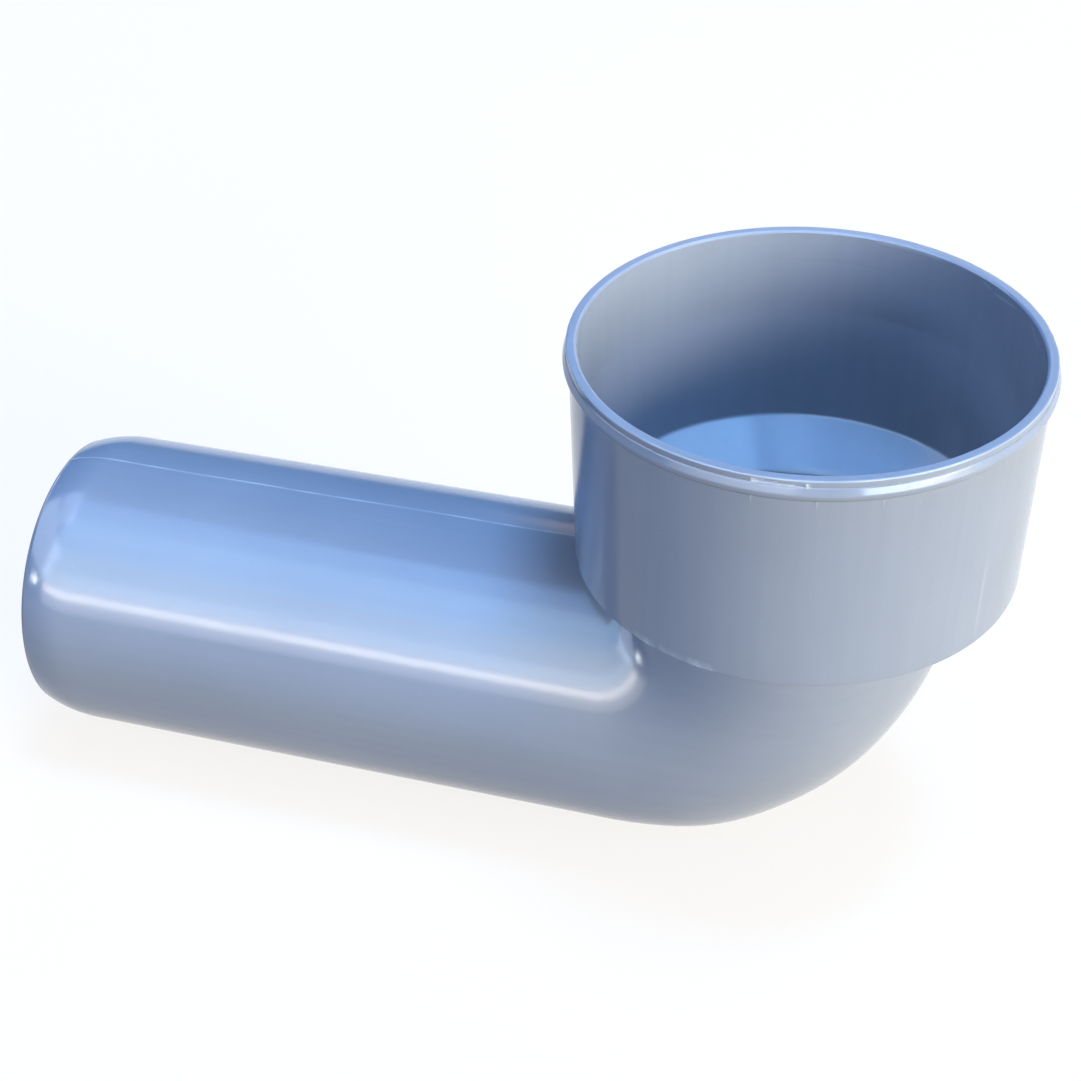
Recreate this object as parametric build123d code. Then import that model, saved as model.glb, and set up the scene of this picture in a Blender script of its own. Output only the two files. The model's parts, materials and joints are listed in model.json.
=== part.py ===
from build123d import *
import math
import os

# A curved pan connector: a moulded plastic waste bend that joins a toilet pan to a soil pipe.
# A cup-shaped socket faces up, a tight elbow sits straight below it, and a long plain spigot
# runs out along -X. It is one moulded body with an open waterway from end to end.
# Millimetres. The origin is the centre of the socket's mouth, with +Z up the socket's axis.

# Socket
SOCKET_HEIGHT = 72.0  # rim to the lower outer edge
SEAT_RADIUS = 67.2  # straight seat that the pan's rubber seal sits in
SEAT_DEPTH = 28.0
SEAT_WALL = 2.4  # wall under the bead
INNER_TAPER = 2.4  # how much narrower the inside is at the floor than at the seat
BASE_WALL = 3.1  # wall at the floor's outer corner
FLOOR_RISE = 5.4  # lower outer edge up to the floor's outer corner
UNDERSIDE_DROP = 8.5  # fall of the underside from the lower outer edge to the neck
NECK_LENGTH = 1.5  # straight neck between the underside and the elbow
THROAT_STRAIGHT = 3.5  # funnel floor's lower corner down to the elbow

# Rim
COLLAR_STAND = 0.9  # the plain collar at the very top stands this far out from the wall
COLLAR_HEIGHT = 2.0
BEAD_STAND = 1.8  # the widest line of the rounded bead below the collar
BEAD_HEIGHT = 5.0
BEAD_STEP = 0.35  # how far the bead starts inside the collar, as a fine line
BEAD_SHOULDER = 0.2  # how far the bead's shoulder lies inside its widest line
BEAD_SHOULDER_DROP = 0.9  # collar to the bead's shoulder
BEAD_WIDEST_DROP = 2.4  # collar to the bead's widest line

# Elbow and spigot
SPIGOT_RADIUS = 50.0
PIPE_WALL = 3.5
CROTCH_RADIUS = 2.0  # inside of the bend, on the outer surface
SPIGOT_REACH = 250.4  # socket axis to the spigot's end
NOSE_LENGTH = 16.0  # rounded lead-in at the spigot's end
NOSE_LAND = 0.4  # flat left at the spigot's end

# Edges and fillets
MOUTH_EDGE = 0.6
COLLAR_EDGE = 0.4
BASE_EDGE = 0.5
FLOOR_FILLET = 4.5
THROAT_LAND = 0.25  # straight left between the throat's rounding and the elbow

WALL_TOP_RADIUS = SEAT_RADIUS + SEAT_WALL
FLOOR_RADIUS = SEAT_RADIUS - INNER_TAPER
BASE_RADIUS = FLOOR_RADIUS + BASE_WALL
BORE_RADIUS = SPIGOT_RADIUS - PIPE_WALL
FLOOR_HEIGHT = FLOOR_RISE - SOCKET_HEIGHT
NECK_TOP = -SOCKET_HEIGHT - UNDERSIDE_DROP
BEND_TOP = NECK_TOP - NECK_LENGTH
THROAT_HEIGHT = BEND_TOP + THROAT_STRAIGHT
BEND_RADIUS = SPIGOT_RADIUS + CROTCH_RADIUS
BEND_AXIS = Axis((-BEND_RADIUS, 0, BEND_TOP), (0, 1, 0))
RUN_START = -BEND_RADIUS
RUN_HEIGHT = BEND_TOP - BEND_RADIUS


def corners(face, radius, height):
    """The corners of a flat face in the XZ plane at one radius and height."""
    return [v for v in face.vertices() if abs(v.X - radius) < 1e-4 and abs(v.Z - height) < 1e-4]


def socket_outside():
    """The socket's outer form with the rim, the underside and the short neck above the elbow."""
    collar_radius = WALL_TOP_RADIUS + COLLAR_STAND
    bead_radius = WALL_TOP_RADIUS + BEAD_STAND
    bead_top = -COLLAR_HEIGHT
    bead_foot = bead_top - BEAD_HEIGHT
    bead_widest = bead_top - BEAD_WIDEST_DROP
    with BuildSketch(Plane.XZ) as profile:
        with BuildLine():
            Polyline(
                (0, BEND_TOP),
                (0, 0),
                (collar_radius, 0),
                (collar_radius, bead_top),
                (collar_radius - BEAD_STEP, bead_top),
                (bead_radius - BEAD_SHOULDER, bead_top - BEAD_SHOULDER_DROP),
                (bead_radius, bead_widest),
            )
            TangentArc((bead_radius, bead_widest), (WALL_TOP_RADIUS, bead_foot), tangent=(0, -1))
            Polyline(
                (WALL_TOP_RADIUS, bead_foot),
                (BASE_RADIUS, -SOCKET_HEIGHT),
                (SPIGOT_RADIUS, NECK_TOP),
                (SPIGOT_RADIUS, BEND_TOP),
                (0, BEND_TOP),
            )
        make_face()
    face = chamfer(corners(profile.sketch, collar_radius, 0), COLLAR_EDGE)
    face = chamfer(corners(face, BASE_RADIUS, -SOCKET_HEIGHT), BASE_EDGE)
    return revolve(face, Axis.Z)


def socket_inside():
    """The cavity: a straight seal seat, a tapered wall, a funnel floor and a rounded throat."""
    with BuildSketch(Plane.XZ) as profile:
        with BuildLine():
            Polyline(
                (0, BEND_TOP),
                (0, 0),
                (SEAT_RADIUS + MOUTH_EDGE, 0),
                (SEAT_RADIUS, -MOUTH_EDGE),
                (SEAT_RADIUS, -SEAT_DEPTH),
                (FLOOR_RADIUS, FLOOR_HEIGHT),
                (BORE_RADIUS, THROAT_HEIGHT),
                (BORE_RADIUS, BEND_TOP),
                (0, BEND_TOP),
            )
        make_face()
    floor_slope = math.atan2(FLOOR_HEIGHT - THROAT_HEIGHT, FLOOR_RADIUS - BORE_RADIUS)
    half_corner = (math.pi / 2 - floor_slope) / 2
    throat_fillet = (THROAT_STRAIGHT - THROAT_LAND) / math.tan(half_corner)
    face = fillet(corners(profile.sketch, FLOOR_RADIUS, FLOOR_HEIGHT), FLOOR_FILLET)
    face = fillet(corners(face, BORE_RADIUS, THROAT_HEIGHT), throat_fillet)
    return revolve(face, Axis.Z)


def elbow(radius):
    """A quarter turn of a round bar, from straight down to along -X, with its seam inside the bend."""
    disc = Pos(0, 0, BEND_TOP) * Rot(0, 0, 180) * Circle(radius)
    return revolve(disc, BEND_AXIS, revolution_arc=90)


def spigot_outside():
    """The straight run, ending in a nose whose curve starts tangent to the run."""
    nose_start = (NOSE_LENGTH - SPIGOT_REACH, SPIGOT_RADIUS)
    nose_end = (-SPIGOT_REACH, BORE_RADIUS + NOSE_LAND)
    with BuildSketch(Plane.XZ) as profile:
        with BuildLine():
            Line((RUN_START, SPIGOT_RADIUS), nose_start)
            TangentArc(nose_start, nose_end, tangent=(-1, 0))
            Polyline(nose_end, (-SPIGOT_REACH, 0), (RUN_START, 0), (RUN_START, SPIGOT_RADIUS))
        make_face()
    return Pos(0, 0, RUN_HEIGHT) * revolve(profile.sketch, Axis.X)


def spigot_inside():
    """The bore of the straight run."""
    disc = Plane(origin=(RUN_START, 0, RUN_HEIGHT), z_dir=(-1, 0, 0)) * Circle(BORE_RADIUS)
    return extrude(disc, SPIGOT_REACH + RUN_START)


def pan_connector():
    """The moulding: the outer form less the open waterway."""
    outside = socket_outside() + elbow(SPIGOT_RADIUS) + spigot_outside()
    waterway = socket_inside() + elbow(BORE_RADIUS) + spigot_inside()
    return outside - waterway


os.makedirs("parts", exist_ok=True)
export_step(pan_connector(), "parts/pan_connector.step")
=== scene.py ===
import json
import math

import bpy
import numpy as np
from mathutils import Matrix, Vector


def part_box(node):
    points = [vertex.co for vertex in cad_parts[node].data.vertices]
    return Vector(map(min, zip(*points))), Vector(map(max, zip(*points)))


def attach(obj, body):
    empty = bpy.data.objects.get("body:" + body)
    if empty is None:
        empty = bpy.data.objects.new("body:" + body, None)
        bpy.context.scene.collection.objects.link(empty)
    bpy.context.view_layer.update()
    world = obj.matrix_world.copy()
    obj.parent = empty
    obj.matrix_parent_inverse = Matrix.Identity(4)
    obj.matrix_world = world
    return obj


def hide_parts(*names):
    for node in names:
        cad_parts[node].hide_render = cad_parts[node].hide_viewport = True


# A grey moulded plastic pan connector. The visible piece is one closed skin made of rings:
# down the outside of the cup, round the elbow, along the spigot, and back through the waterway.
# Metres, in the CAD frame: origin at the centre of the cup's mouth, +Z up, spigot along -X.

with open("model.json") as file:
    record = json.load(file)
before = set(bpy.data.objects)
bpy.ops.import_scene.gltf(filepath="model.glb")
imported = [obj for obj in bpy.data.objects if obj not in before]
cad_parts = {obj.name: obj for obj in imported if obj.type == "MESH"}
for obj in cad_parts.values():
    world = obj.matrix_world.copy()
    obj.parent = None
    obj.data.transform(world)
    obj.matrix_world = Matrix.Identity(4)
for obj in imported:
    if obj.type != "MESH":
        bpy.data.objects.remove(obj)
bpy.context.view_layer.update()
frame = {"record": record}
low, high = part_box("pan_connector")
mounts = {m["name"]: m for m in frame["record"]["mounts"]}

# Sizes from the frame
SEAT_RADIUS = mounts["pan_socket"]["dims"]["r_mm"] / 1000
PIPE_RADIUS = mounts["spigot"]["dims"]["r_mm"] / 1000
BORE_RADIUS = mounts["spigot_bore"]["dims"]["r_mm"] / 1000
AXIS_HEIGHT = mounts["spigot"]["pos_m"][2]
NOSE_START = mounts["spigot"]["pos_m"][0]
PIPE_END = mounts["spigot_bore"]["pos_m"][0]
RUN_START = NOSE_START + mounts["spigot"]["dims"]["length_mm"] / 1000
SEAT_END = mounts["pan_socket"]["pos_m"][2] - mounts["pan_socket"]["dims"]["length_mm"] / 1000
BEAD_RADIUS = high.y
FLOOR_LEVEL = low.z

# Sizes of the cup and its rim
WALL_TOP_RADIUS = BEAD_RADIUS - 0.0018
BASE_RADIUS = 0.0679
BASE_HEIGHT = -0.072
FLOOR_RADIUS = 0.0648
FLOOR_HEIGHT = -0.0666
MOUTH_EDGE = 0.0006
MOUTH_RADIUS = SEAT_RADIUS + MOUTH_EDGE
MOUTH_DEPTH = 0.0125
LEAD_IN_DEPTH = 0.004
LEAD_IN_STEP = 0.00003
LEAD_IN_FALL = 0.0003
COLLAR_RADIUS = WALL_TOP_RADIUS + 0.0009
COLLAR_HEIGHT = -0.002
BEAD_START_RADIUS = COLLAR_RADIUS - 0.00035
SHOULDER_RADIUS = BEAD_RADIUS - 0.00075
SHOULDER_HEIGHT = -0.0024
BEAD_HEIGHT = -0.0044
BEAD_FOOT = -0.007

# Sizes of the elbow and the spigot
NOSE_RADIUS = BORE_RADIUS + 0.0004
BEND_RADIUS = -RUN_START
BEND_TOP = AXIS_HEIGHT + BEND_RADIUS
NECK_TOP = BEND_TOP + 0.0015
THROAT_HEIGHT = BEND_TOP + 0.0035
BEND_GAP = 0.0002  # the cup's rings stop this far above the elbow's first ring
BEAD_GAP = 0.0004  # the wall's rings start this far below the bead's foot

# Roundings of the edges and corners
COLLAR_ROUNDING = 0.0004
FINE_ROUNDING = 0.0001
SHOULDER_ROUNDING = 0.0003
BASE_ROUNDING = 0.0007
NECK_ROUNDING = 0.001
THROAT_ROUNDING = 0.006
FLOOR_ROUNDING = 0.0016
SEAT_ROUNDING = 0.02
MOUTH_ROUNDING = 0.0003

# Floor and light
FLOOR_REACH = 40.0
LIGHT_DISTANCE = 4.0
LIGHT_TARGET = Vector((-0.08, 0, -0.1))

# Mesh density
ARC_STEPS = 4
INNER_ARC_STEPS = 6
BEAD_RINGS = 7
BEND_RINGS = 49
RUN_RINGS = 46
NOSE_RINGS = 12
END_RINGS = 4
BORE_RINGS = 16
BASE_COLUMNS = 220
CHIP_COLUMNS = 44
LEAST_COLUMN_STEP = math.radians(0.06)
RIM_SPACING = 0.0004
WALL_SPACING = 0.0024
INSIDE_SPACING = 0.0028

# Where the marks of moulding and wear and the painted highlight streak lie, as angles round the cup from
# +X towards +Y
CHIP_START = math.radians(-91.8)
CHIP_END = math.radians(-79.2)
NICK_ANGLES = [math.radians(a) for a in (-92.1, -77.6, -62.8, -29.0)]
DENT_ANGLES = [math.radians(a) for a in (30.0, 20.8, 15.9, -153.6, -168.4)]
FLASH_START = math.radians(-125)
FLASH_END = math.radians(-99)
# A pale upright streak painted on the cup as a highlight: its angle, and its lowest and highest heights
HIGHLIGHT_STREAK_ANGLE = math.radians(-30.2)
HIGHLIGHT_STREAK_LOWEST = -0.068
HIGHLIGHT_STREAK_HIGHEST = -0.043
RING_LINE_START = math.radians(40)
RING_LINE_END = math.radians(110)
RING_LINE_HEIGHT = -0.0105
# Scratches inside the mouth: first and last angle in degrees, and the height at each in metres
MOUTH_SCRATCHES = (
    (64, 82, -0.0012, -0.0012),
    (47, 49.5, -0.0026, -0.0018),
    (36, 45, -0.0027, -0.0033),
    (21, 27, -0.0053, -0.0024),
)
# The mould's parting lines along the pipe: angle round it from the bend's outer side, height,
# and the phase of its waver
PARTING_LINES = ((math.radians(179.1), 0.00016, 3), (0.0, 0.00012, 4))

# Sizes of the marks: the parting lines' width, and how far each mark stands out or sinks in
PARTING_WIDTH = 0.00034
EDGE_UNEVENNESS = 0.000015
DENT_DEPTH = 0.00022
BASE_LIP = 0.00004
FLASH_HEIGHT = 0.00014
NICK_HEIGHT = 0.00028
HEEL_FULLNESS = 0.0015
HEEL_HOLLOW = 0.0008
WALL_RIPPLE = 0.00005
RING_LINE_DEPTH = 0.00006
SCRATCH_HEIGHT = 0.00004
BURR_HEIGHT = 0.00045


def rounded(corners, steps=ARC_STEPS):
    """An outline through (radius, height, rounding) corners, with arcs at the rounded ones."""
    points = []
    for i, (x, y, rounding) in enumerate(corners):
        here = np.array((x, y))
        if rounding == 0:
            points.append(here)
            continue
        back = np.array(corners[i - 1][:2]) - here
        ahead = np.array(corners[i + 1][:2]) - here
        back /= np.linalg.norm(back)
        ahead /= np.linalg.norm(ahead)
        half = math.acos(np.clip(back @ ahead, -1, 1)) / 2
        middle = back + ahead
        centre = here + middle / np.linalg.norm(middle) * rounding / math.sin(half)
        first = here + back * rounding / math.tan(half) - centre
        last = here + ahead * rounding / math.tan(half) - centre
        start = math.atan2(first[1], first[0])
        turn = (math.atan2(last[1], last[0]) - start + math.pi) % math.tau - math.pi
        for k in range(steps + 1):
            angle = start + turn * k / steps
            points.append(centre + rounding * np.array((math.cos(angle), math.sin(angle))))
    return points


def spaced(points, longest):
    """The outline with extra points wherever two lie further apart than the given length."""
    out = [points[0]]
    for here in points[1:]:
        last = out[-1]
        pieces = max(1, math.ceil(np.linalg.norm(here - last) / longest))
        for k in range(1, pieces + 1):
            out.append(last + (here - last) * k / pieces)
    return out


def bead_arc():
    """The bead's underside: an arc from its widest line, where it is upright, in to the wall."""
    run = BEAD_RADIUS - WALL_TOP_RADIUS
    fall = BEAD_HEIGHT - BEAD_FOOT
    size = (run**2 + fall**2) / (2 * run)
    turn = math.asin(fall / size)
    return [
        (BEAD_RADIUS - size * (1 - math.cos(a)), BEAD_HEIGHT - size * math.sin(a), 0)
        for a in np.linspace(0, turn, BEAD_RINGS)
    ]


class Rings:
    """The rings of the skin in order: centre, outward direction, radius, zone and station."""

    def __init__(self):
        self.centre, self.outward, self.radius, self.zone, self.station = [], [], [], [], []

    def add(self, centre, outward, radius, zone, station):
        self.centre.append(centre)
        self.outward.append(outward)
        self.radius.append(radius)
        self.zone.append(zone)
        self.station.append(station)

    def cup(self, zone, outline):
        """Rings round the cup's axis, from (radius, height) points."""
        for radius, height in outline:
            self.add((0, 0, height), (1, 0, 0), radius, zone, height)

    def bend(self, zone, radius, angles):
        """Rings round the elbow, at angles from straight down to along -X."""
        for a in angles:
            centre = (BEND_RADIUS * (math.cos(a) - 1), 0, BEND_TOP - BEND_RADIUS * math.sin(a))
            self.add(centre, (math.cos(a), 0, -math.sin(a)), radius, zone, a)

    def run(self, zone, outline):
        """Rings round the spigot's axis, from (x, radius) points."""
        for x, radius in outline:
            self.add((x, 0, AXIS_HEIGHT), (0, 0, -1), radius, zone, x)


def cup_outside():
    """From the mouth's edge over the collar and bead, and down the wall to its lower edge."""
    rim = rounded([
        (MOUTH_RADIUS, 0, 0),
        (COLLAR_RADIUS, 0, COLLAR_ROUNDING),
        (COLLAR_RADIUS, COLLAR_HEIGHT, FINE_ROUNDING),
        (BEAD_START_RADIUS, COLLAR_HEIGHT, FINE_ROUNDING),
        (SHOULDER_RADIUS, SHOULDER_HEIGHT, SHOULDER_ROUNDING),
        *bead_arc(),
    ])
    wall = rounded([
        (WALL_TOP_RADIUS, BEAD_FOOT - BEAD_GAP, 0),
        (BASE_RADIUS, BASE_HEIGHT, BASE_ROUNDING),
        (PIPE_RADIUS, NECK_TOP, NECK_ROUNDING),
        (PIPE_RADIUS, BEND_TOP + BEND_GAP, 0),
    ])
    return spaced(rim, RIM_SPACING), spaced(wall, WALL_SPACING)


def cup_inside():
    """From the elbow up the throat, the funnel floor, the wall and the seat to the mouth's edge."""
    outline = rounded([
        (BORE_RADIUS, BEND_TOP + BEND_GAP, 0),
        (BORE_RADIUS, THROAT_HEIGHT, THROAT_ROUNDING),
        (FLOOR_RADIUS, FLOOR_HEIGHT, FLOOR_ROUNDING),
        (SEAT_RADIUS, SEAT_END, SEAT_ROUNDING),
        (SEAT_RADIUS, -MOUTH_DEPTH, 0),
    ], INNER_ARC_STEPS)
    mouth = rounded([
        (SEAT_RADIUS, -MOUTH_DEPTH, 0),
        (SEAT_RADIUS, -LEAD_IN_DEPTH - LEAD_IN_FALL, 0),
        (SEAT_RADIUS + LEAD_IN_STEP, -LEAD_IN_DEPTH, 0),
        (SEAT_RADIUS + LEAD_IN_STEP, -MOUTH_EDGE, MOUTH_ROUNDING),
        (MOUTH_RADIUS, 0, 0),
    ], INNER_ARC_STEPS)
    return spaced(outline, INSIDE_SPACING) + spaced(mouth, RIM_SPACING)[1:-1]


def nose():
    """The spigot's rounded end as (x, radius) points, its curve starting level with the run."""
    length = NOSE_START - PIPE_END
    depth = PIPE_RADIUS - NOSE_RADIUS
    size = (length**2 + depth**2) / (2 * depth)
    angles = np.linspace(0, math.asin(length / size), NOSE_RINGS)[1:]
    return [(NOSE_START - size * math.sin(a), PIPE_RADIUS - size * (1 - math.cos(a))) for a in angles]


def all_rings():
    """Every ring of the skin in order, as a closed loop."""
    rings = Rings()
    rim, wall = cup_outside()
    quarter = np.linspace(0, math.pi / 2, BEND_RINGS)
    outer_run = np.linspace(RUN_START, NOSE_START, RUN_RINGS)[1:]
    end_face = np.linspace(NOSE_RADIUS, BORE_RADIUS, END_RINGS)[1:]
    inner_run = np.linspace(PIPE_END, RUN_START, BORE_RINGS)[1:]
    rings.cup("rim", rim)
    rings.cup("wall", wall)
    rings.bend("bend", PIPE_RADIUS, quarter)
    rings.run("run", [(x, PIPE_RADIUS) for x in outer_run])
    rings.run("nose", nose())
    rings.run("end", [(PIPE_END, r) for r in end_face])
    rings.run("bore", [(x, BORE_RADIUS) for x in inner_run])
    rings.bend("inner_bend", BORE_RADIUS, quarter[::-2][1:])
    rings.cup("inside", cup_inside())
    return rings


def columns():
    """The angles of the skin's columns: even, and closer together at the small marks."""
    angles = list(np.linspace(-math.pi, math.pi, BASE_COLUMNS, endpoint=False))
    parting_angles = [line[0] for line in PARTING_LINES]
    for middles, offsets in (
        (parting_angles, (-1, -0.6, -0.35, -0.15, 0, 0.15, 0.35, 0.6, 1)),
        (NICK_ANGLES, (-0.45, -0.25, -0.1, 0, 0.1, 0.25, 0.45)),
        ([HIGHLIGHT_STREAK_ANGLE], (-0.8, -0.4, 0, 0.4, 0.8)),
    ):
        angles += [middle + math.radians(d) for middle in middles for d in offsets]
    angles += list(np.linspace(CHIP_START, CHIP_END, CHIP_COLUMNS))
    angles = sorted((a + math.pi) % math.tau - math.pi for a in angles)
    kept = [angles[0]]
    for a in angles[1:]:
        if a - kept[-1] > LEAST_COLUMN_STEP:
            kept.append(a)
    return np.array(kept)


def window(values, start, end, soft):
    """1 between start and end, falling to 0 over a soft margin on each side."""
    rise = np.clip((values - start) / soft + 0.5, 0, 1)
    fall = np.clip((end - values) / soft + 0.5, 0, 1)
    return rise * rise * (3 - 2 * rise) * fall * fall * (3 - 2 * fall)


def hump(values, middle, width):
    """A smooth bump of height 1."""
    return np.exp(-(((values - middle) / width) ** 2))


def wobble(angles, seed, lowest, highest):
    """A repeatable uneven line round a ring, about -1 to 1, from whole numbers of waves."""
    draw = np.random.default_rng(seed)
    waves = np.arange(lowest, highest + 1)
    phases = draw.uniform(0, math.tau, len(waves))
    weights = draw.uniform(0.5, 1, len(waves))
    total = sum(w * np.sin(n * angles + p) for n, p, w in zip(waves, phases, weights))
    return total / math.sqrt((weights**2).sum())


class Place:
    """Where each point of the skin lies: its zone, station and radius by ring, and its angle."""

    def __init__(self, rings, angles):
        self.zone = np.array(rings.zone)[:, None]
        self.station = np.array(rings.station)[:, None]
        self.radius = np.array(rings.radius)[:, None]
        self.angles = angles
        self.rim = self.zone == "rim"
        self.wall = self.zone == "wall"
        self.inside = self.zone == "inside"


# Each mark below gives how far it stands out, and how pale it is painted there, for wear and for painted
# highlights


def parting_lines(place):
    """The mould's parting lines along the outside of the pipe: thin ridges that waver and fade, each
    painted pale along its length as a painted highlight.
    """
    on_pipe = np.isin(place.zone, ("bend", "run", "nose"))
    out = wear_and_highlights = 0
    for middle, height, phase in PARTING_LINES:
        drift = math.radians(0.18) * np.sin(place.station * 41 + phase)
        drift = drift + math.radians(0.12) * np.sin(place.station * 113)
        away = (place.angles - middle - drift + math.pi) % math.tau - math.pi
        ridge = hump(away * place.radius, 0, PARTING_WIDTH) * on_pipe
        faded = 0.72 + 0.28 * np.sin(place.station * 260 + 2 * np.sin(place.station * 97 + phase))
        out = out + height * ridge * faded
        # The pale paint along each ridge is a painted highlight
        wear_and_highlights = wear_and_highlights + ridge * faded
    return out, wear_and_highlights


def mouth_edges(place):
    """Uneven edges round the mouth and the collar, with a few dents in the outer one. The outer edge and
    the dents are painted pale as wear; the top face is painted a little paler as painted light, and the
    mouth's inner edge pale as a painted highlight.
    """
    top = (place.station > -0.0001) * place.rim
    inner_edge_highlight = hump(place.radius, MOUTH_RADIUS, 0.00025) * top
    outer_edge = hump(place.station, -0.0002, 0.00022) * hump(place.radius, COLLAR_RADIUS, 0.0004)
    outer_edge = outer_edge * place.rim
    lip = hump(place.station, COLLAR_HEIGHT, 0.0003) * place.rim
    patchy = np.clip(0.75 + 0.2 * wobble(place.angles, 12, 3, 30), 0.3, 1)
    out = (inner_edge_highlight + outer_edge) * EDGE_UNEVENNESS * wobble(place.angles, 11, 6, 40)
    out += lip * EDGE_UNEVENNESS * wobble(place.angles, 13, 10, 60)
    # The pale paint over the top face is painted light, and on the inner edge a painted highlight; on
    # the outer edge and the dents it is wear
    wear_and_highlights = 0.12 * top + (0.3 * inner_edge_highlight + 0.7 * outer_edge) * patchy
    for middle in DENT_ANGLES:
        dent = hump(place.angles, middle, math.radians(1.1)) * outer_edge
        out -= DENT_DEPTH * dent
        wear_and_highlights += 0.5 * dent
    return out, wear_and_highlights


def flash(place):
    """A slight lip on the cup's lower edge, with thin uneven flash over one stretch."""
    edge = hump(place.station, BASE_HEIGHT + 0.0003, 0.00035) * place.wall
    uneven = np.clip(0.55 + 0.6 * wobble(place.angles, 14, 20, 110), 0, 1.4)
    amount = window(place.angles, FLASH_START, FLASH_END, math.radians(6)) * uneven
    return edge * (BASE_LIP + FLASH_HEIGHT * amount), 0.8 * edge * amount


def nicks(place):
    """Small pale nicks at the bead's foot."""
    at_foot = hump(place.station, BEAD_FOOT, 0.0004) * (place.rim | place.wall)
    spots = sum(hump(place.angles, middle, math.radians(0.2)) for middle in NICK_ANGLES)
    return NICK_HEIGHT * spots * at_foot, spots * at_foot


def painted_highlight_streak(place):
    """A painted highlight: a pale upright streak low on the cup, with no depth."""
    across = hump(place.angles, HIGHLIGHT_STREAK_ANGLE, math.radians(0.5))
    return 0, 0.18 * across * window(place.station, HIGHLIGHT_STREAK_LOWEST, HIGHLIGHT_STREAK_HIGHEST, 0.008) * place.wall


def heel(place):
    """The outside of the bend: fuller low down, and a little flatter higher up."""
    turn = np.degrees(place.station)
    amount = HEEL_FULLNESS * hump(turn, 67, 13) - HEEL_HOLLOW * hump(turn, 24, 14)
    return amount * np.clip(np.cos(place.angles), 0, 1) * (place.zone == "bend"), 0


def cup_walls(place):
    """A slow ripple round the outer wall, and a faint level line inside the mouth."""
    line = hump(place.station, RING_LINE_HEIGHT, 0.0006) * place.inside
    line = line * window(place.angles, RING_LINE_START, RING_LINE_END, 0.4)
    return WALL_RIPPLE * wobble(place.angles, 21, 2, 7) * place.wall - RING_LINE_DEPTH * line, 0


def mouth_scratches(place):
    """Fine pale scratches inside the mouth."""
    scratches = 0
    for first, last, first_height, last_height in MOUTH_SCRATCHES:
        start, end = math.radians(first), math.radians(last)
        height = first_height + (last_height - first_height) * (place.angles - start) / (end - start)
        scratch = hump(place.station, height, 0.0003) * place.inside
        scratches = scratches + scratch * window(place.angles, start, end, math.radians(2))
    return SCRATCH_HEIGHT * scratches, 0.45 * scratches


MARKS = (parting_lines, mouth_edges, flash, nicks, painted_highlight_streak, heel, cup_walls, mouth_scratches)


def relief(rings, angles):
    """How far each point of the skin stands out from the plain form, and how pale it is painted, for
    wear and for painted highlights.
    """
    place = Place(rings, angles)
    out = wear_and_highlights = np.zeros((len(rings.zone), len(angles)))
    for mark in MARKS:
        stands_out, worn_and_highlit = mark(place)
        out = out + stands_out
        wear_and_highlights = wear_and_highlights + worn_and_highlit
    return out, np.clip(wear_and_highlights, 0, 1)


def chip(points, rings, angles, wear_and_highlights):
    """Bevels the lower part of the collar over the chipped stretch, and curls a burr at its end."""
    along = (angles - CHIP_START) / (CHIP_END - CHIP_START)
    within = window(angles, CHIP_START, CHIP_END, math.radians(0.5))
    top = -0.0003 - 0.0015 * np.clip(along, 0, 1) ** 0.8
    jagged = 1 + 0.25 * wobble(angles, 31, 60, 200)
    burr = hump(along, 0.94, 0.03)
    collar_top = -0.0002
    collar_foot = COLLAR_HEIGHT - 0.0003
    burr_top = -0.001
    deepest_radius = BEAD_START_RADIUS - 0.0006
    for i, (zone, height, radius) in enumerate(zip(rings.zone, rings.station, rings.radius)):
        if zone != "rim" or height > collar_top or height < collar_foot:
            continue
        depth = np.clip((top - height) * 0.5, 0, None) * within * jagged
        depth = np.minimum(depth, radius - deepest_radius)
        curl = burr * (height < burr_top)
        shift = BURR_HEIGHT * curl - depth
        points[i, :, 0] += shift * np.cos(angles)
        points[i, :, 1] += shift * np.sin(angles)
        wear_and_highlights[i] = np.maximum(wear_and_highlights[i], 0.9 * within * (depth > 0.00002) + curl)


def skin():
    """The closed mesh of the connector, with its wear and its painted highlights as one attribute."""
    rings = all_rings()
    angles = columns()
    centre = np.array(rings.centre, float)[:, None, :]
    outward = np.array(rings.outward, float)[:, None, :]
    radius = np.array(rings.radius)[:, None, None]
    sideways = np.array((0.0, 1.0, 0.0))
    direction = np.cos(angles)[None, :, None] * outward + np.sin(angles)[None, :, None] * sideways
    points = centre + radius * direction
    along = np.roll(points, -1, 0) - np.roll(points, 1, 0)
    around = np.roll(points, -1, 1) - np.roll(points, 1, 1)
    normals = np.cross(along, around)
    normals /= np.linalg.norm(normals, axis=2, keepdims=True)
    out, wear_and_highlights = relief(rings, angles)
    points = points + normals * out[:, :, None]
    chip(points, rings, angles, wear_and_highlights)

    rows, cols = points.shape[:2]
    index = np.arange(rows * cols).reshape(rows, cols)
    below = np.roll(index, -1, 0)
    faces = np.stack([index, below, np.roll(below, -1, 1), np.roll(index, -1, 1)], -1).reshape(-1, 4)
    mesh = bpy.data.meshes.new("connector_body")
    mesh.from_pydata(points.reshape(-1, 3).tolist(), [], faces.tolist())
    mesh.shade_smooth()
    attribute = mesh.attributes.new("wear_and_highlights", "FLOAT", "POINT")
    attribute.data.foreach_set("value", wear_and_highlights.reshape(-1).astype(np.float32))
    pipe = np.isin(np.array(rings.zone), ("bend", "run", "nose", "end", "bore", "inner_bend"))
    lengthwise = np.repeat(pipe.astype(np.float32), cols)
    mesh.attributes.new("lengthwise", "FLOAT", "POINT").data.foreach_set("value", lengthwise)
    piece = bpy.data.objects.new("connector_body", mesh)
    bpy.context.scene.collection.objects.link(piece)
    print("skin", rows, "rings", cols, "columns", len(faces) * 2, "triangles")
    return piece


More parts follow.
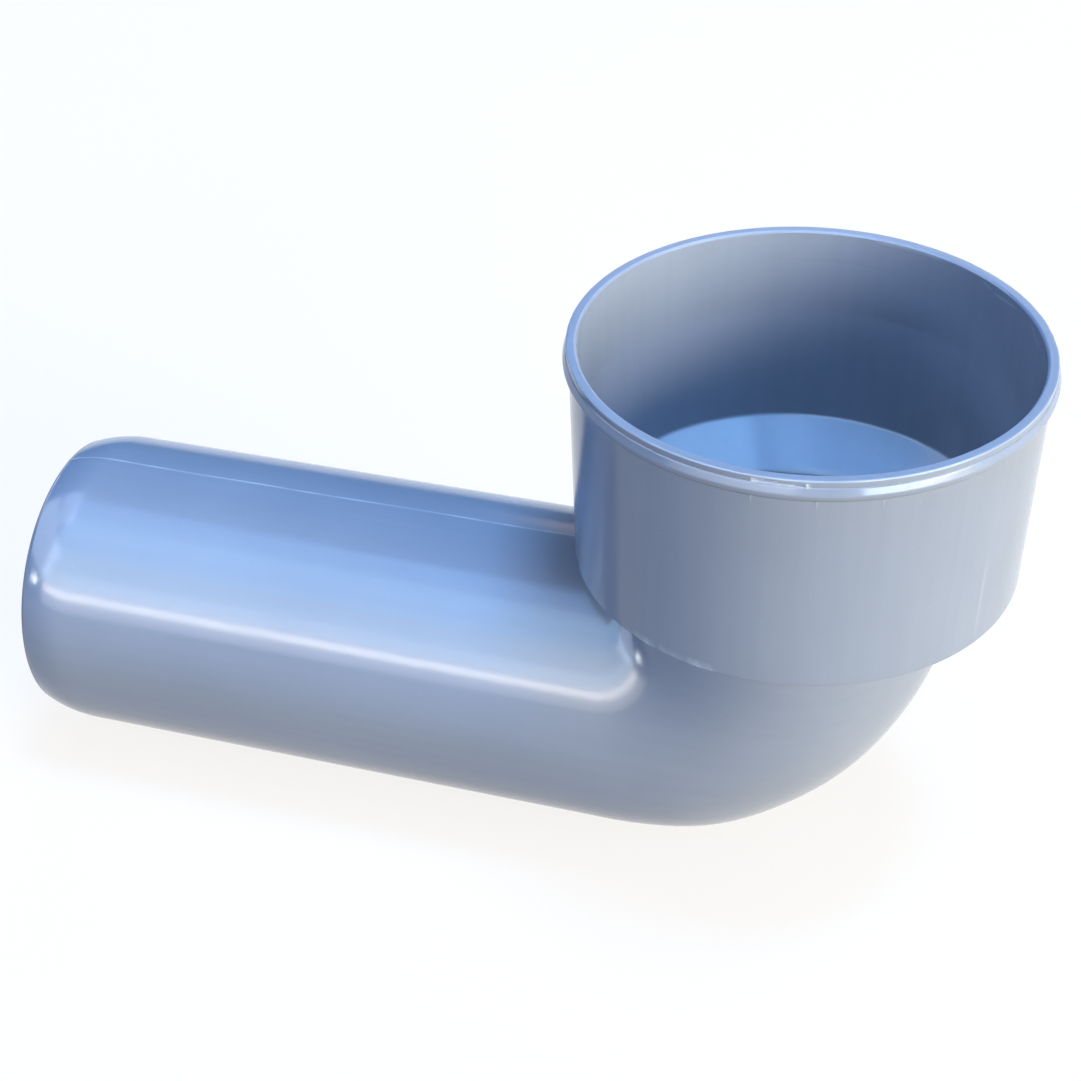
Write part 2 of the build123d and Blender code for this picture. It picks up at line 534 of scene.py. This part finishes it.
class Nodes:
    """Short calls for building a node tree."""

    def __init__(self, tree):
        self.tree = tree
        tree.nodes.clear()

    def add(self, kind, settings=None, **inputs):
        """A node with its settings, and its inputs given as values or as other nodes' outputs."""
        node = self.tree.nodes.new(kind)
        for name, value in (settings or {}).items():
            setattr(node, name, value)
        for name, value in inputs.items():
            key = int(name[1:]) if name[0] == "_" and name[1:].isdigit() else name.replace("_", " ")
            self.put(node.inputs[key], value)
        return node

    def put(self, socket, value):
        if isinstance(value, bpy.types.NodeSocket):
            self.tree.links.new(value, socket)
        else:
            socket.default_value = value

    def math(self, operation, a, b, c=0.0, clamp=False):
        node = self.add("ShaderNodeMath", {"operation": operation, "use_clamp": clamp}, _0=a, _1=b, _2=c)
        return node.outputs[0]

    def mix(self, factor, a, b):
        node = self.add("ShaderNodeMix", {"data_type": "RGBA"})
        self.put(node.inputs["Factor"], factor)
        self.put(node.inputs[6], a)
        self.put(node.inputs[7], b)
        return node.outputs[2]

    def noise(self, vector, scale, detail):
        return self.add("ShaderNodeTexNoise", Vector=vector, Scale=scale, Detail=detail).outputs[0]

    def stretched(self, vector, scale):
        return self.add("ShaderNodeMapping", Vector=vector, Scale=scale).outputs[0]


BASE_COLOUR = (0.287, 0.315, 0.368, 1)
PALE_COLOUR = (0.311, 0.339, 0.395, 1)
WORN_AND_HIGHLIGHT_COLOUR = (0.66, 0.68, 0.72, 1)
# Scales of the plastic's noise textures, in features a metre
STREAK_ACROSS = 260
STREAK_ALONG = 7
MOTTLE_SCALE = 28.0
GLOSS_SCALE = 60.0
GRAIN_SCALE = 700.0
SPECK_SCALE = 1500.0


def grey_plastic():
    """Smooth moulded PVC: soft gloss, faint draw marks and mottling, specks, pale worn edges, and pale
    painted highlights.
    """
    material = bpy.data.materials.new("grey_plastic")
    material.use_nodes = True
    n = Nodes(material.node_tree)
    place = n.add("ShaderNodeTexCoord").outputs["Object"]
    wear_and_highlights = n.add("ShaderNodeAttribute", {"attribute_name": "wear_and_highlights"}).outputs["Fac"]
    lengthwise = n.add("ShaderNodeAttribute", {"attribute_name": "lengthwise"}).outputs["Fac"]

    upright = n.noise(n.stretched(place, (STREAK_ACROSS, STREAK_ACROSS, STREAK_ALONG)), 1.0, 3.0)
    level = n.noise(n.stretched(place, (STREAK_ALONG, STREAK_ACROSS, STREAK_ACROSS)), 1.0, 3.0)
    streaks = n.add("ShaderNodeMix", {"data_type": "FLOAT"})
    n.put(streaks.inputs["Factor"], lengthwise)
    n.put(streaks.inputs[2], upright)
    n.put(streaks.inputs[3], level)
    streak = streaks.outputs[0]
    mottle = n.noise(place, MOTTLE_SCALE, 3.0)
    tone = n.math("ADD", n.math("MULTIPLY", mottle, 0.6), n.math("MULTIPLY", streak, 0.4))
    tone = n.add("ShaderNodeMapRange", Value=tone, From_Min=0.35, From_Max=0.65).outputs[0]
    colour = n.mix(tone, BASE_COLOUR, PALE_COLOUR)

    specks = n.noise(place, SPECK_SCALE, 1.0)
    specks = n.add("ShaderNodeMapRange", Value=specks, From_Min=0.76, From_Max=0.82).outputs[0]
    colour = n.mix(n.math("MULTIPLY", specks, 0.3), colour, WORN_AND_HIGHLIGHT_COLOUR)
    # This pale colour carries real wear, chips and nicks, and also painted highlights on the rim, the
    # parting lines and the upright streak
    worn_and_highlit = n.math("MULTIPLY", wear_and_highlights, 0.75, clamp=True)
    colour = n.mix(worn_and_highlit, colour, WORN_AND_HIGHLIGHT_COLOUR)

    grain = n.noise(place, GRAIN_SCALE, 2.0)
    roughness = n.math("MULTIPLY_ADD", n.noise(place, GLOSS_SCALE, 4.0), 0.08, 0.12)
    roughness = n.math("ADD", roughness, n.math("MULTIPLY", worn_and_highlit, 0.15))
    height = n.math("ADD", n.math("MULTIPLY", grain, 0.35), n.math("MULTIPLY", streak, 0.35))
    bump = n.add("ShaderNodeBump", Strength=0.05, Distance=0.0002, Height=height).outputs[0]
    shader = n.add("ShaderNodeBsdfPrincipled", Base_Color=colour, Roughness=roughness, Normal=bump,
                   IOR=1.5, Specular_IOR_Level=0.5)
    n.add("ShaderNodeOutputMaterial", Surface=shader.outputs[0])
    return material


def floor_material():
    """A floor that the camera, gloss and glass see as near white, with the object's shadow on it."""
    material = bpy.data.materials.new("floor")
    material.use_nodes = True
    n = Nodes(material.node_tree)
    path = n.add("ShaderNodeLightPath")
    seen = n.math("MAXIMUM", path.outputs["Is Camera Ray"], path.outputs["Is Glossy Ray"])
    seen = n.math("MAXIMUM", seen, path.outputs["Is Transmission Ray"])
    dim = n.add("ShaderNodeBsdfDiffuse", Color=(0.06, 0.067, 0.08, 1)).outputs[0]
    pale = n.add("ShaderNodeBsdfDiffuse", Color=(0.23, 0.185, 0.14, 1)).outputs[0]
    glow = n.add("ShaderNodeEmission", Color=(1, 1, 1, 1), Strength=0.81).outputs[0]
    bright = n.add("ShaderNodeAddShader", _0=pale, _1=glow).outputs[0]
    surface = n.add("ShaderNodeMixShader", _0=seen, _1=dim, _2=bright).outputs[0]
    n.add("ShaderNodeOutputMaterial", Surface=surface)
    return material


def floor():
    """A large level floor that the object stands on."""
    reach = FLOOR_REACH
    mesh = bpy.data.meshes.new("floor")
    corners = [(-reach, -reach), (reach, -reach), (reach, reach), (-reach, reach)]
    mesh.from_pydata([(x, y, FLOOR_LEVEL) for x, y in corners], [], [(0, 1, 2, 3)])
    mesh.materials.append(floor_material())
    piece = bpy.data.objects.new("floor", mesh)
    bpy.context.scene.collection.objects.link(piece)


def sky():
    """Faint even light from all round."""
    world = bpy.data.worlds.new("daylight")
    world.use_nodes = True
    bpy.context.scene.world = world
    n = Nodes(world.node_tree)
    glow = n.add("ShaderNodeBackground", Color=(0.06, 0.08, 0.12, 1), Strength=1.0).outputs[0]
    n.add("ShaderNodeOutputWorld", Surface=glow)


def soft_box(name, azimuth, half_width, lowest, highest, radiance, seen="all"):
    """A soft box far off, aimed at the object. Its place and size are angles in degrees, with the
    azimuth from the front towards +X, and its brightness is a colour. A matt box is seen by
    diffuse rays alone, and a gloss box by glossy rays alone."""
    strongest = max(radiance)
    light = bpy.data.lights.new(name, "AREA")
    light.shape = "RECTANGLE"
    light.size = 2 * LIGHT_DISTANCE * math.tan(math.radians(half_width))
    light.size_y = 2 * LIGHT_DISTANCE * math.tan(math.radians((highest - lowest) / 2))
    light.energy = strongest * math.pi * light.size * light.size_y
    light.color = [c / strongest for c in radiance]
    piece = bpy.data.objects.new(name, light)
    bpy.context.scene.collection.objects.link(piece)
    a, e = math.radians(azimuth), math.radians((lowest + highest) / 2)
    away = Vector((math.sin(a) * math.cos(e), -math.cos(a) * math.cos(e), math.sin(e)))
    piece.location = LIGHT_TARGET + away * LIGHT_DISTANCE
    piece.rotation_euler = away.to_track_quat("Z", "Y").to_euler()
    piece.visible_camera = False
    piece.visible_diffuse = seen != "gloss"
    piece.visible_glossy = seen != "matt"


def lights():
    """Light that gives the photograph's look: blue from overhead, neutral from low on the right,
    weak fills at the left, back and front, and a pale stepped reflection in front that darkens
    upwards from a bright strip. The nose boxes show in the spigot's rounded end."""
    soft_box("overhead", 90, 8, 72, 88, (8, 18, 36), "matt")
    soft_box("overhead_wide", 0, 25, 65, 115, (0.3, 0.5, 0.9), "matt")
    soft_box("right_side", 72, 12, 2, 24, (17.5, 16, 11))
    soft_box("right_front", 48, 12, 2, 24, (11.5, 12.5, 14.5))
    soft_box("right_high", 85, 15, 26, 50, (1, 1.5, 2.5))
    soft_box("left_side", -85, 20, 2, 34, (0.9, 1.1, 1.7), "matt")
    soft_box("back_fill", 180, 25, 12, 40, (1.1, 1.4, 1.9), "matt")
    soft_box("front_fill", -30, 25, 8, 45, (0.3, 0.6, 1.2), "matt")
    soft_box("right_top", 105, 22, 50, 75, (2, 4, 7), "gloss")
    soft_box("middle_top", 60, 30, 74, 86, (0.5, 1.0, 1.8), "gloss")
    soft_box("back_low", 185, 10, 20, 31, (1.3, 1.0, 0.8), "gloss")
    soft_box("left_back", -115, 10, 0, 12, (2.5, 2.4, 3.4), "gloss")
    soft_box("front_top", -20, 32, 70, 86, (1, 2, 4), "gloss")
    soft_box("front_high", -20, 32, 46, 70, (2, 3.5, 5.5), "gloss")
    soft_box("front_middle", -20, 32, 30, 46, (3, 4, 5), "gloss")
    soft_box("front_low", -20, 32, 19, 30, (5, 6, 7), "gloss")
    soft_box("front_strip", -20, 28, 12, 18, (14, 13, 12), "gloss")
    soft_box("front_foot", -20, 28, 3, 11, (3, 3, 3), "gloss")
    soft_box("nose_high", -92, 12, 42, 58, (2.5, 3, 4.5), "gloss")
    soft_box("nose_middle", -76, 24, 18, 42, (3, 3.5, 4.5), "gloss")
    soft_box("nose_spot", -60, 2.5, 9, 13, (34, 34, 33), "gloss")


def camera():
    """The photograph's view, aimed at the spigot's axis below the cup and then shifted."""
    azimuth, elevation, roll = (math.radians(d) for d in (17.21, 36.45, -0.95))
    distance, shift_right, shift_up = 0.6784, -0.0794, 0.0506
    sensor_width, focal_length = 36, 69.28
    back = Vector((
        math.sin(azimuth) * math.cos(elevation),
        -math.cos(azimuth) * math.cos(elevation),
        math.sin(elevation),
    ))
    right = Vector((math.cos(azimuth), math.sin(azimuth), 0))
    upward = back.cross(right)
    tilted_right = math.cos(roll) * right + math.sin(roll) * upward
    tilted_up = math.cos(roll) * upward - math.sin(roll) * right
    data = bpy.data.cameras.new("camera")
    data.sensor_width = sensor_width
    data.lens = focal_length
    piece = bpy.data.objects.new("camera", data)
    bpy.context.scene.collection.objects.link(piece)
    aim = Vector((0, 0, AXIS_HEIGHT))
    place = aim + back * distance + tilted_right * shift_right + tilted_up * shift_up
    turn = Matrix((tilted_right, tilted_up, back)).transposed().to_4x4()
    piece.matrix_world = Matrix.Translation(place) @ turn
    bpy.context.scene.camera = piece


connector = skin()
connector.data.materials.append(grey_plastic())
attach(connector, "root")
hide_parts("pan_connector")
floor()
sky()
lights()
camera()
bpy.context.scene.view_settings.view_transform = "Standard"
